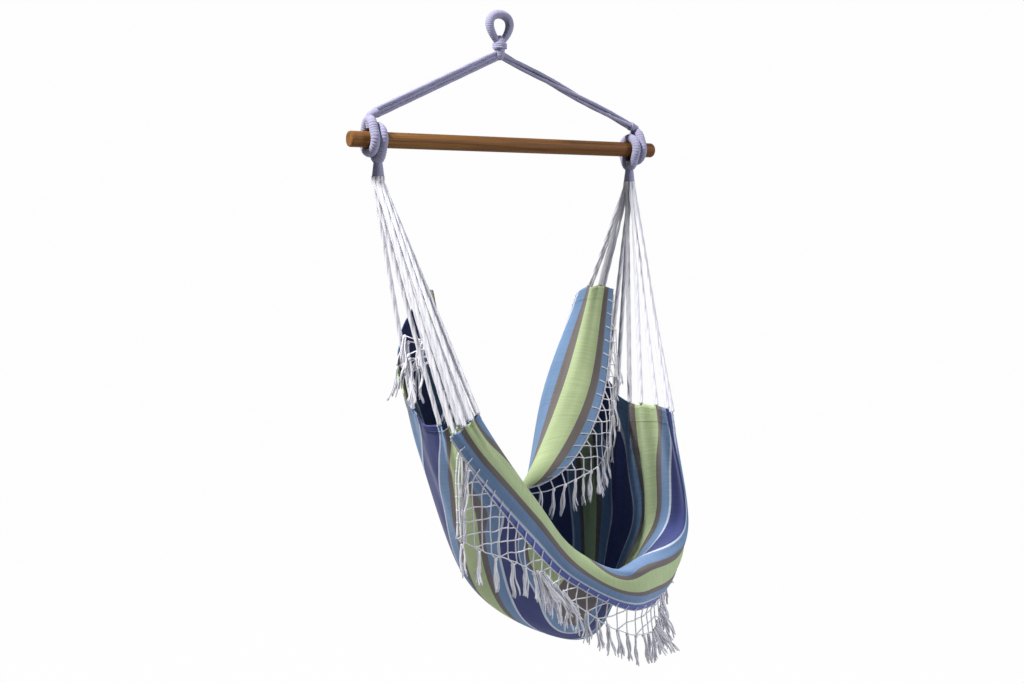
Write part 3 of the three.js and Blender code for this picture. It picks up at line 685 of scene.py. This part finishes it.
def cloth_place(along, across):
    """The cloth with its small folds: pleats below each cord and soft ridges down from them."""
    along, across = np.asarray(along, float), np.asarray(across, float)
    down, normal = faced(along, across)
    from_hem = to_hem(along)
    phase, width = np.zeros_like(across), np.zeros_like(across)
    for shares, chosen in ((LEFT_HEM_SHARES, along < 0), (RIGHT_HEM_SHARES, along >= 0)):
        phase = np.where(chosen, np.interp(across, shares, np.arange(len(shares))), phase)
        width = np.where(chosen, np.interp(across, shares, np.gradient(shares)) * FLAT_WIDTH, width)
    width = np.minimum(width, PLEAT_MAX_WIDTH)
    pull = np.cos(2 * math.pi * phase)
    inside = np.clip(np.minimum(across, 1 - across) / SMOOTH_EDGE_SHARE, 0, 1)
    depth = np.minimum(PLEAT_DEPTH_SHARE * width, PLEAT_MAX_DEPTH)
    pleats = depth * pull * np.exp(-from_hem / (PLEAT_REACH_SHARE * width + PLEAT_LEAST_REACH)) * inside
    sag = -np.minimum(SAG_SHARE * width, MAX_SAG) * (1 - pull) * np.exp(-from_hem / SAG_REACH)
    ridges = 0
    for height, over_waves, along_waves, turn in RIDGES:
        waves = over_waves * across + along_waves * along
        ridges = ridges + height * MM * np.sin(2 * math.pi * waves + turn)
    soft = ridges * np.exp(-from_hem / RIDGE_REACH) * inside
    moved = (pleats + soft)[:, None] * normal + (np.sign(along) * sag)[:, None] * down
    return smooth_place(along, across) + moved, normal


def cloth_uv(along, across):
    """Where a point of the cloth lies in the striped pattern, in metres."""
    stripe = across * FLAT_WIDTH
    for pull, most_along, reach_along, most_across, reach_across in STRIPE_PULLS:
        far = ((along - most_along) / reach_along) ** 2 + ((across - most_across) / reach_across) ** 2
        stripe = stripe + pull * MM * np.exp(-far)
    return np.stack([stripe, (along + 1) * FLAT_LENGTH / 2], -1)


cloth_rows, cloth_columns = ((220, 360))
grid_along, grid_across = np.meshgrid(
    np.linspace(-1, 1, cloth_rows + 1), np.linspace(0, 1, cloth_columns + 1), indexing="ij")
places, _ = cloth_place(grid_along.ravel(), grid_across.ravel())
places = places.reshape(cloth_rows + 1, cloth_columns + 1, 3)
normals = unit(np.cross(np.gradient(places, axis=0), np.gradient(places, axis=1)))
in_hem = to_hem(grid_along) < HEM_DEPTH
in_selvedge = np.minimum(grid_across, 1 - grid_across) * FLAT_WIDTH < SELVEDGE_WIDTH
half_thickness = CLOTH_HALF_THICKNESS + HEM_EXTRA * in_hem + SELVEDGE_EXTRA * in_selvedge
uvs = cloth_uv(grid_along.ravel(), grid_across.ravel())
index = np.arange(places[..., 0].size).reshape(places.shape[:2])
face = np.stack([index[:-1, :-1], index[1:, :-1], index[1:, 1:], index[:-1, 1:]], -1).reshape(-1, 4)
count = index.size
rim = np.concatenate([index[:-1, 0], index[-1, :-1], index[:0:-1, -1], index[0, :0:-1]])
following = np.roll(rim, -1)
rim_face = np.stack([following, rim, rim + count, following + count], -1)
cloth = Shape()
offset = normals * half_thickness[..., None]
cloth.add(np.concatenate([(places + offset).reshape(-1, 3), (places - offset).reshape(-1, 3)]),
          np.concatenate([face, face[:, ::-1] + count, rim_face]), np.concatenate([uvs, uvs]))
seat_sheet = cloth.piece("seat_sheet", CANVAS, "seat", "striped_canvas", "seat_cloth")


# Seat eyes, collars and cords


def collar_offset(slot):
    inner = slot < INNER_CORDS
    turn = slot / INNER_CORDS + INNER_START if inner else (slot - INNER_CORDS) / OUTER_CORDS
    ring = INNER_RING if inner else OUTER_RING
    return ring * np.array([math.cos(2 * math.pi * turn), math.sin(2 * math.pi * turn), 0])


knots = Shape()
cord_steps = 150
lead_steps = 8
cord_bends = [0, lead_steps, cord_steps * 0.3]
cord_radii = np.interp(np.arange(cord_steps + lead_steps - 1), cord_bends, CORD_LOOKS)
for side, word in SIDES:
    x = seat_eye_x(side)
    foot = np.array([x, 0, BAR_MIDDLE[2] - SEAT_COLLAR_DROP])
    eye = served_eye(x, -1)
    top = BAR_MIDDLE[2] - EYE_RADIUS
    collar = np.array([[x, 0, top], [x, 0, top - 12 * MM], [x, 0, (top + foot[2]) / 2], foot])
    served(eye, collar, np.array([9.5, 10, 12.5, 14.6]) * MM, pitch=2.6 * MM, depth=0.25 * MM)
    eye.piece(f"seat_eye_served_{word}", LAVENDER_ROPE, "seat", "served_rope", f"seat_eye_{word}")

    hem_shares, slots = HEM_CORDS[word]
    hems, _ = cloth_place(np.full(len(hem_shares), float(side)), hem_shares)
    for i, (hem, slot) in enumerate(zip(hems, slots)):
        top = foot + collar_offset(slot)
        lead = top - CORD_LEAD_OUT * UP
        path = np.concatenate([lead + np.linspace(1, 0, lead_steps)[:, None] * CORD_LEAD_OUT * UP,
                               lead + np.linspace(0, 1, cord_steps)[1:, None] * (hem - lead)])
        add_cord(f"seat_line_{word}_{i + 1:02d}", path, cord_radii, CORD_LAY, WHITE_COTTON, "seat",
                 "white_cotton", f"seat_cord_{word}_{i + 1:02d}", start=i * 0.7)
    knot_radii = np.full(len(hems), HEM_KNOT_RADIUS)
    ball(knots, hems + 2 * MM * UP, knot_radii, squash=0.75, rings=7, sides=8)
hem_knots = knots.piece("hem_knots", WHITE_COTTON, "seat", "white_cotton")


# Edgings, nets and tassels


def selvedge(across, along):
    """Places along a selvedge, and the way out of the cloth at each."""
    inward = 1 if across == 0 else -1
    place, normal = cloth_place(along, np.full(len(along), float(across)))
    inner, _ = cloth_place(along, np.full(len(along), across + inward * 0.01))
    return place, unit(place - inner), normal


def edging(name, across):
    """A cord along the selvedge, whipped to it at even steps."""
    shape = Shape()
    inward = 1 if across == 0 else -1
    along = np.linspace(-EDGING_END, EDGING_END, 700)
    place, away, _ = selvedge(across, along)
    plied(shape, place + away * EDGING_OUT, EDGING_RADIUS, EDGING_PLIES, EDGING_LAY)
    run, total = lengths(place)
    stitches = np.interp(np.arange(STITCH_STEP, total, STITCH_STEP), run, along)
    turn = np.linspace(-1, 1, 9)
    for at in stitches:
        share = at - turn * STITCH_LEAN
        rim, out, normal = selvedge(across, share)
        inside, _ = cloth_place(share, np.full(len(turn), across + inward * STITCH_BITE / FLAT_WIDTH))
        depth = np.clip(1 - np.abs(turn), 0, 1)[:, None]
        path = inside + (rim + out * STITCH_OUT - inside) * depth
        path = path + normal * (np.sin(turn * math.pi / 2) * STITCH_LIFT)[:, None]
        tubes(shape, path, STITCH_RADIUS, 6)
    return shape.piece(name, WHITE_COTTON, "seat", "white_cotton")


front_edging = edging("front_edging", 0)
rear_edging = edging("rear_edging", 1)


def threads(shape, starts, ends, slack=1.2 * MM, steps=5):
    """Net threads from place to place, each a little slack."""
    share = np.linspace(0, 1, steps)[None, :, None]
    starts, ends = np.asarray(starts), np.asarray(ends)
    bow = rng.normal(0, slack, (len(starts), 1, 3)) * np.sin(math.pi * share)
    tubes(shape, starts[:, None] + (ends - starts)[:, None] * share + bow, NET_THREAD, 6)


def tassels(shape, feet, lean, yarns=9, spread=8.5 * MM):
    """Bunches of loose yarn: each hangs from its knot in a few clumps that part towards the end."""
    feet, lean = np.asarray(feet), np.asarray(lean)
    many = len(feet)
    steps = np.linspace(0, 1, 11)
    reach = TASSEL_LENGTH * rng.uniform(0.80, 1.05, (many, yarns, 1))
    clump = np.arange(yarns) % TASSEL_CLUMPS
    aside = rng.uniform(0, 2 * math.pi, (many, TASSEL_CLUMPS))[:, clump, None]
    aside = aside + rng.normal(0, 0.25, (many, yarns, 1))
    wide = rng.uniform(0.35, 1.0, (many, TASSEL_CLUMPS))[:, clump, None] * spread
    flare = TASSEL_NECK_RADIUS + wide * steps ** 1.3
    phase = rng.uniform(0, 2 * math.pi, (many, TASSEL_CLUMPS))[:, clump, None]
    wave = TASSEL_WAVE * np.sin(steps * 7 + phase) * steps
    loose = rng.normal(0, 0.7 * MM, (many, yarns, 2, 1)) * (0.5 + steps)
    swing = lean[:, None] + rng.normal(0, 0.05, (many, 1, 2))
    x = flare * np.cos(aside) + wave + loose[:, :, 0] + swing[..., :1] * reach * steps
    y = flare * np.sin(aside) - wave + loose[:, :, 1] + swing[..., 1:] * reach * steps
    paths = feet[:, None, None] + np.stack([x, y, -reach * steps], -1)
    radii = np.where(steps < 0.95, TASSEL_YARN_RADIUS, TASSEL_TIP_RADIUS)
    tubes(shape, paths.reshape(-1, len(steps), 3), radii, 6)
    ball(shape, feet - 3 * MM * UP, np.full(many, TASSEL_KNOT_RADIUS), squash=1.3)


def on_line(where, run, line):
    """Places at given distances along a line of points."""
    return np.stack([np.interp(where, run, line[:, k]) for k in range(3)], -1)


def level_knots(hung, levels):
    """For each upright thread, its knots by level, where the level threads cross it."""
    knots = []
    for thread in hung:
        falling = np.minimum.accumulate(thread[:, 2])
        tied = {}
        for k, level in enumerate(levels):
            if thread[-1, 2] + FOOT_SHARE * NET_ROW < level < thread[0, 2] - TOP_SHARE * NET_ROW:
                place = np.array([np.interp(-level, -falling, thread[:, n]) for n in range(3)])
                tied[k] = place + rng.normal(0, 1.3 * MM, 3)
        knots.append(tied)
    return knots


def level_threads(hung, levels, knots):
    """Starts and ends of the level threads, which stop at the net's rim where a neighbour has no knot."""
    starts, ends = [], []
    for j in range(len(hung) - 1):
        for k, level in enumerate(levels):
            pair = [knots[j].get(k), knots[j + 1].get(k)]
            if pair[0] is None and pair[1] is None:
                continue
            for a in (0, 1):
                if pair[a] is None:
                    above = level > hung[j + a, 0, 2] - TOP_SHARE * NET_ROW
                    rim = hung[j:j + 2, 0 if above else -1]
                    rise = rim[1, 2] - rim[0, 2]
                    share = np.clip((level - rim[0, 2]) / rise, 0, 1) if abs(rise) > 1 * MM else 0.5
                    pair[a] = rim[0] + (rim[1] - rim[0]) * share
            starts.append(pair[0])
            ends.append(pair[1])
    return starts, ends


def tassel_heads(shape, foot, sway, twinned):
    """Where the tassels hang; where twinned, two threads run together into one."""
    heads, leans, v_from, v_to = [], [], [], []
    j = 0
    while j < len(foot):
        leans.append(sway[j])
        if twinned[j] and j < len(foot) - 1:
            head = (foot[j] + foot[j + 1]) / 2 - TWIN_DROP * UP
            v_from += [foot[j], foot[j + 1]]
            v_to += [head, head]
            heads.append(head)
            j += 2
        else:
            heads.append(foot[j])
            j += 1
    if v_from:
        threads(shape, v_from, v_to)
    return heads, leans


def gathered_threads(shape, hung, many):
    """Loose threads that run together down the net's left end."""
    share = np.linspace(0, 1, 30)[:, None]
    for _ in range(many):
        start = hung[0, 0] + (hung[2, 0] - hung[0, 0]) * rng.uniform(0, 0.75)
        end = hung[0, -1] + np.array([rng.uniform(-4, 16), rng.uniform(-6, 6), rng.uniform(-30, 12)]) * MM
        wave = 3.5 * MM * np.sin(share * rng.uniform(5, 12) + rng.uniform(0, 6, (1, 3)))
        path = start + share * (end - start) + wave * LEVEL * np.sin(math.pi * share)
        tubes(shape, path, NET_THREAD, 6)


def net(name, cad_node, across, first, last, deepest, shares, lean, twin_share, gathered, clumps=(),
        strays=None):
    """A square-meshed net: plumb threads from the selvedge, level ones knotted across, tassels below."""
    shape = Shape()
    fine = np.linspace(first, last, 500)
    line, away, _ = selvedge(across, fine)
    run, total = lengths(line)
    count = round(total / NET_COLUMN)
    where = np.linspace(0, total, count + 1)
    onward = where / total
    top, out = on_line(where, run, line), unit(on_line(where, run, away))
    deep = NET_HEADER + deepest * curve(shares[:, None], np.linspace(0, 1, len(shares)), onward)[:, 0]
    sway = np.stack([lean[0] * onward ** 2, np.full(count + 1, lean[1])], -1)

    falls = np.linspace(0, 1, 40)[None] * deep[:, None]
    turned = NET_TURN * (1 - np.exp(-falls / NET_TURN))
    down = falls - turned
    hung = (top[:, None] + out[:, None] * (NET_OUT + turned)[..., None]
            + np.concatenate([sway[:, None] * down[..., None], -down[..., None]], -1))
    foot = hung[:, -1]
    levels = np.arange(foot[:, 2].min(), top[:, 2].max(), NET_ROW)
    knots = level_knots(hung, levels)
    uprights = []
    for thread, tied in zip(hung, knots):
        chain = [thread[0], *[tied[k] for k in sorted(tied, reverse=True)], thread[-1]]
        uprights.append(resampled(np.array(chain), 26))
    tubes(shape, np.array(uprights), NET_THREAD, 6)
    starts, ends = level_threads(hung, levels, knots)
    threads(shape, starts + list(foot[:-1]), ends + list(foot[1:]))
    tied = np.array([place for column in knots for place in column.values()] + list(foot))
    ball(shape, tied, np.full(len(tied), NET_KNOT_RADIUS))
    tassels(shape, *tassel_heads(shape, foot, sway, deep > NET_HEADER + twin_share * deepest))
    gathered_threads(shape, hung, gathered)

    for low, high, many, lean_x, lean_y, rise in clumps:
        picks = np.interp(rng.uniform(low, high, many), fine, run)
        start = on_line(picks, where, foot) + UP * rng.uniform(0, rise, (many, 1)) * MM
        start = start + rng.normal(0, 5 * MM, (many, 3)) * LEVEL
        leans = np.stack([rng.normal(lean_x, 0.18, many), rng.normal(lean_y, 0.1, many)], -1)
        tassels(shape, start, leans, yarns=6, spread=10 * MM)
    if strays is not None:
        corner = line[:1] + np.array([[-8, 0, 12]]) * MM
        threads(shape, np.repeat(corner, len(strays[0]), axis=0), strays[0], slack=5 * MM, steps=9)
        tassels(shape, *strays, yarns=7, spread=12 * MM)
    return shape.piece(name, WHITE_COTTON, "seat", "white_cotton", cad_node)


front_fringe = net("front_fringe", "front_net", 0, -0.91, 0.91, FRONT_NET_DEPTH, FRONT_NET_SHARES,
                   lean=(0.3, -0.05), twin_share=0.42, gathered=9, clumps=FRONT_CLUMPS)
stray_corner = selvedge(1, np.array([-0.99]))[0][0]
stray_places = stray_corner + np.stack([rng.uniform(-75, -5, STRAY_TASSELS),
                                        rng.uniform(-20, 25, STRAY_TASSELS),
                                        rng.uniform(-165, -70, STRAY_TASSELS)], -1) * MM
stray_leans = np.stack([rng.uniform(-0.3, 0.15, STRAY_TASSELS),
                        rng.uniform(-0.15, 0.05, STRAY_TASSELS)], -1)
rear_fringe = net("rear_fringe", "rear_net", 1, -0.82, 0.91, REAR_NET_DEPTH, REAR_NET_SHARES,
                  lean=(0, -0.06), twin_share=math.inf, gathered=4, strays=(stray_places, stray_leans))


def hem_stitching():
    """Rows of stitches that hold the turned hem, sewn in yarn of each stripe's own colour."""
    shape = Shape()
    across = np.linspace(0.004, 0.996, 900)
    uneven = 1.3 + 0.5 * np.sin(2 * math.pi * across * FLAT_WIDTH / HEM_STITCH_LENGTH)
    for side, _ in SIDES:
        for inset in HEM_STITCH_ROWS:
            along = np.full(len(across), side * (1 - inset * MM * 2 / FLAT_LENGTH))
            place, normal = cloth_place(along, across)
            for face_side in (-1, 1):
                path = place + normal * (face_side * uneven * MM)[:, None]
                tubes(shape, path, HEM_YARN_RADIUS, 4, uvs=cloth_uv(along, across))
    return shape.piece("hem_stitching", CANVAS, "seat", "striped_canvas")


stitching = hem_stitching()


# Spreader bar keeps its solid

bar = bpy.data.objects["spreader_bar"]
for i in range(len(bar.material_slots)):
    bar.material_slots[i].material = HARDWOOD


# Stage

floor_data = bpy.data.meshes.new("floor")
corners = [(x * FLOOR_REACH, y * FLOOR_REACH, FLOOR_Z) for x, y in ((-1, -1), (1, -1), (1, 1), (-1, 1))]
floor_data.from_pydata(corners, [], [(0, 1, 2, 3)])
floor = bpy.data.objects.new("floor", floor_data)


def most_of(tree, first, second):
    return node(tree, "ShaderNodeMath", {0: first, 1: second}, operation="MAXIMUM").outputs[0]


def seen_directly(tree):
    """1 for what the camera sees itself, in a mirror or through glass, else 0."""
    rays = node(tree, "ShaderNodeLightPath").outputs
    mirrored = most_of(tree, rays["Is Camera Ray"], rays["Is Glossy Ray"])
    return most_of(tree, mirrored, rays["Is Transmission Ray"])


paper, paper_tree, paper_shader = material("pale floor")
paper_shader.inputs["Base Color"].default_value = colour(FLOOR_PAPER)
paper_shader.inputs["Roughness"].default_value = 1.0
paper_shader.inputs["Specular IOR Level"].default_value = 0.0
glow = node(paper_tree, "ShaderNodeEmission", {"Color": (1, 1, 1, 1), "Strength": 1.0}).outputs[0]
white_share = node(paper_tree, "ShaderNodeMath", {0: seen_directly(paper_tree), 1: FLOOR_WHITE},
                   operation="MULTIPLY").outputs[0]
blend = node(paper_tree, "ShaderNodeMixShader", {0: white_share, 1: paper_shader.outputs[0], 2: glow})
paper_tree.links.new(blend.outputs[0], paper_tree.nodes["Material Output"].inputs["Surface"])
floor_data.materials.append(paper)
bpy.context.scene.collection.objects.link(floor)


def area_light(name, place, target, size, power, rgb):
    data = bpy.data.lights.new(name, "AREA")
    data.shape = "DISK"
    data.size = size
    data.energy = power
    data.color = rgb
    made = bpy.data.objects.new(name, data)
    made.location = place
    made.rotation_euler = (Vector(target) - Vector(place)).to_track_quat("-Z", "Y").to_euler()
    bpy.context.scene.collection.objects.link(made)


aim = (0.05, 0.0, -0.9)
area_light("key", (-2.6, 0.1, 2.6), aim, size=0.6, power=345, rgb=(1.0, 0.985, 0.96))
area_light("fill", (3.1, -3.4, 1.0), aim, size=1.8, power=150, rgb=(0.93, 0.95, 1.0))

world = bpy.data.worlds.new("studio")
bpy.context.scene.world = world
world.use_nodes = True
sky = world.node_tree
ambient = sky.nodes["Background"]
ambient.inputs["Color"].default_value = colour(SKY_TINT)
ambient.inputs["Strength"].default_value = SKY_LIGHT
backdrop = node(sky, "ShaderNodeBackground", {"Color": (1, 1, 1, 1), "Strength": SKY_WHITE})
choice = node(sky, "ShaderNodeMixShader",
              {0: seen_directly(sky), 1: ambient.outputs[0], 2: backdrop.outputs[0]})
sky.links.new(choice.outputs[0], sky.nodes["World Output"].inputs["Surface"])

bpy.context.scene.view_settings.view_transform = "Standard"
